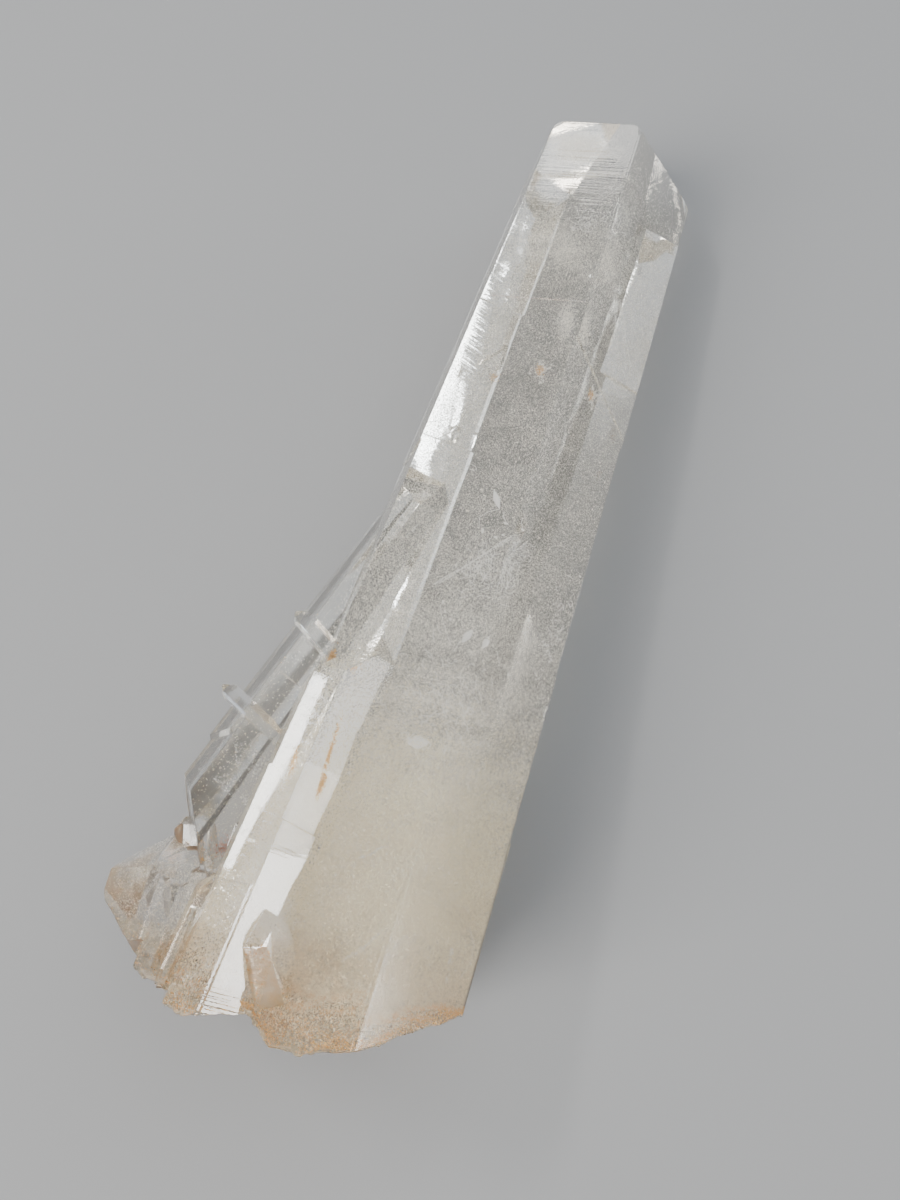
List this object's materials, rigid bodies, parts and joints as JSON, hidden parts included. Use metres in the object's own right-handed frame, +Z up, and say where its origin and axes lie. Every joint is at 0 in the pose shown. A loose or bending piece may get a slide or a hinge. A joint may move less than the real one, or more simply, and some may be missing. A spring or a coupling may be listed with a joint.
{
  "type": "quartz crystal point",
  "caption": "Long six-sided quartz crystal with a chisel-shaped tip, a slanting crystal, a blade and small crystals grown on its side, and a rough broken foot.",
  "frame": {"origin": "centre of the bounding box in X and Y, at the height of the surface it lies on", "axes": "+Y towards the tip of the long crystal, +Z up from the surface it lies on, +X to the right as seen from the broken foot"},
  "size_m": [0.0556, 0.178, 0.04],
  "materials": {
    "quartz": "clear to milky natural quartz with glossy, finely striated growth faces and a rough, iron-stained break"
  },
  "bodies": {
    "root": {"quartz_cluster": "quartz"}
  },
  "joints": []
}
